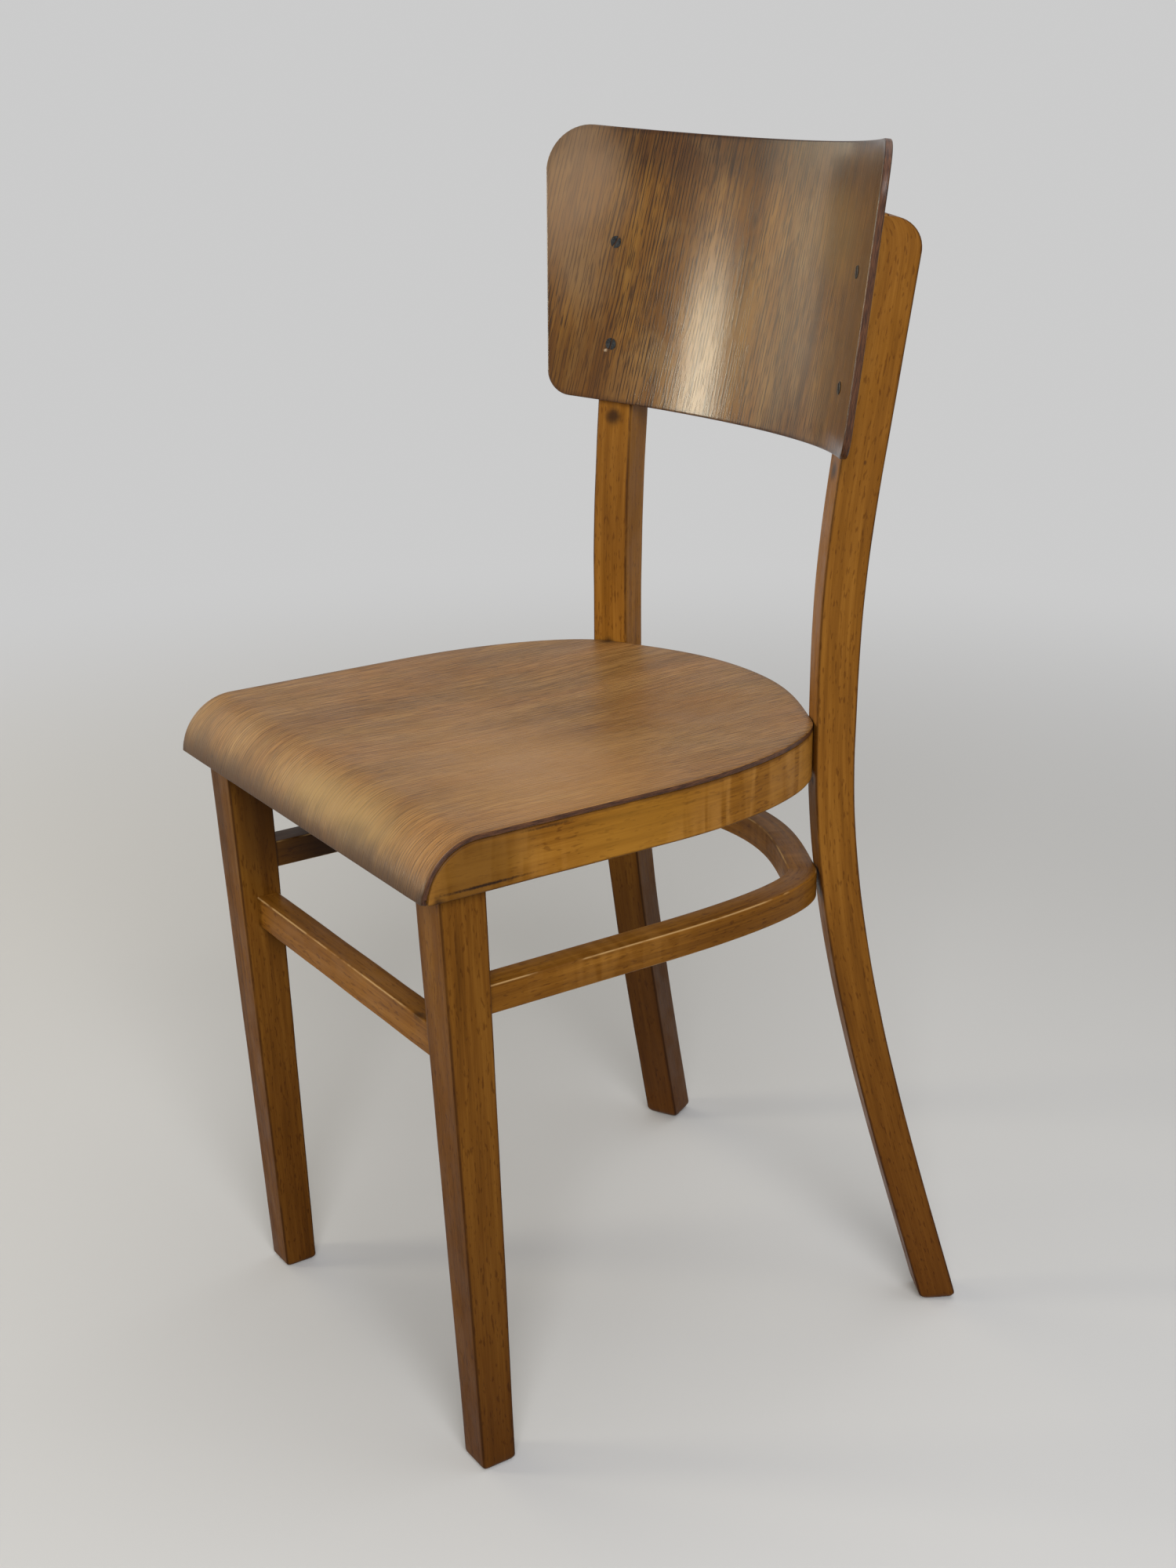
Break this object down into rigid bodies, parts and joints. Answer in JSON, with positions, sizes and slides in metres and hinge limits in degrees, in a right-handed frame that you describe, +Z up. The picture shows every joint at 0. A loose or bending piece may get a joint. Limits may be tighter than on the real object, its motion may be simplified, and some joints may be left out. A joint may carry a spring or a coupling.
{
  "type": "bentwood side chair",
  "caption": "Old bentwood side chair with a moulded plywood seat rolled down at the front, a bent hoop stretcher and a curved plywood back.",
  "frame": {"origin": "on the floor, at the middle of the chair's bounding box", "axes": "+Z up, the front of the chair toward -Y, +X toward the side that the picture shows nearer"},
  "size_m": [0.3814, 0.4471, 0.8424],
  "materials": {
    "seat_ply": "worn satin varnish, reddish tan, golden on the rolled front",
    "rim_beech": "worn honey-orange varnish",
    "rail_beech": "thin varnish",
    "leg_beech": "worn orange-brown varnish, darker at the foot",
    "post_beech": "worn golden-brown varnish, dark on the arrises",
    "hoop_beech": "dull brown varnish with ground-in dirt",
    "stretcher_beech": "varnish worn pale along the top edge",
    "panel_ply": "dark walnut-brown varnish, stained",
    "screw_steel": "dark oxidised steel"
  },
  "bodies": {
    "root": {"seat_panel": "seat_ply", "seat_rim": "rim_beech", "front_rail": "rail_beech", "front_leg_left": "leg_beech", "front_leg_right": "leg_beech", "rear_post_left": "post_beech", "rear_post_right": "post_beech", "hoop_stretcher": "hoop_beech", "front_stretcher": "stretcher_beech", "back_panel": "panel_ply", "back_screw_lower_left": "screw_steel", "back_screw_lower_right": "screw_steel", "back_screw_upper_left": "screw_steel", "back_screw_upper_right": "screw_steel", "rim_screw_left": "screw_steel", "rim_screw_right": "screw_steel", "hoop_screw_left": "screw_steel", "hoop_screw_right": "screw_steel"}
  },
  "joints": []
}
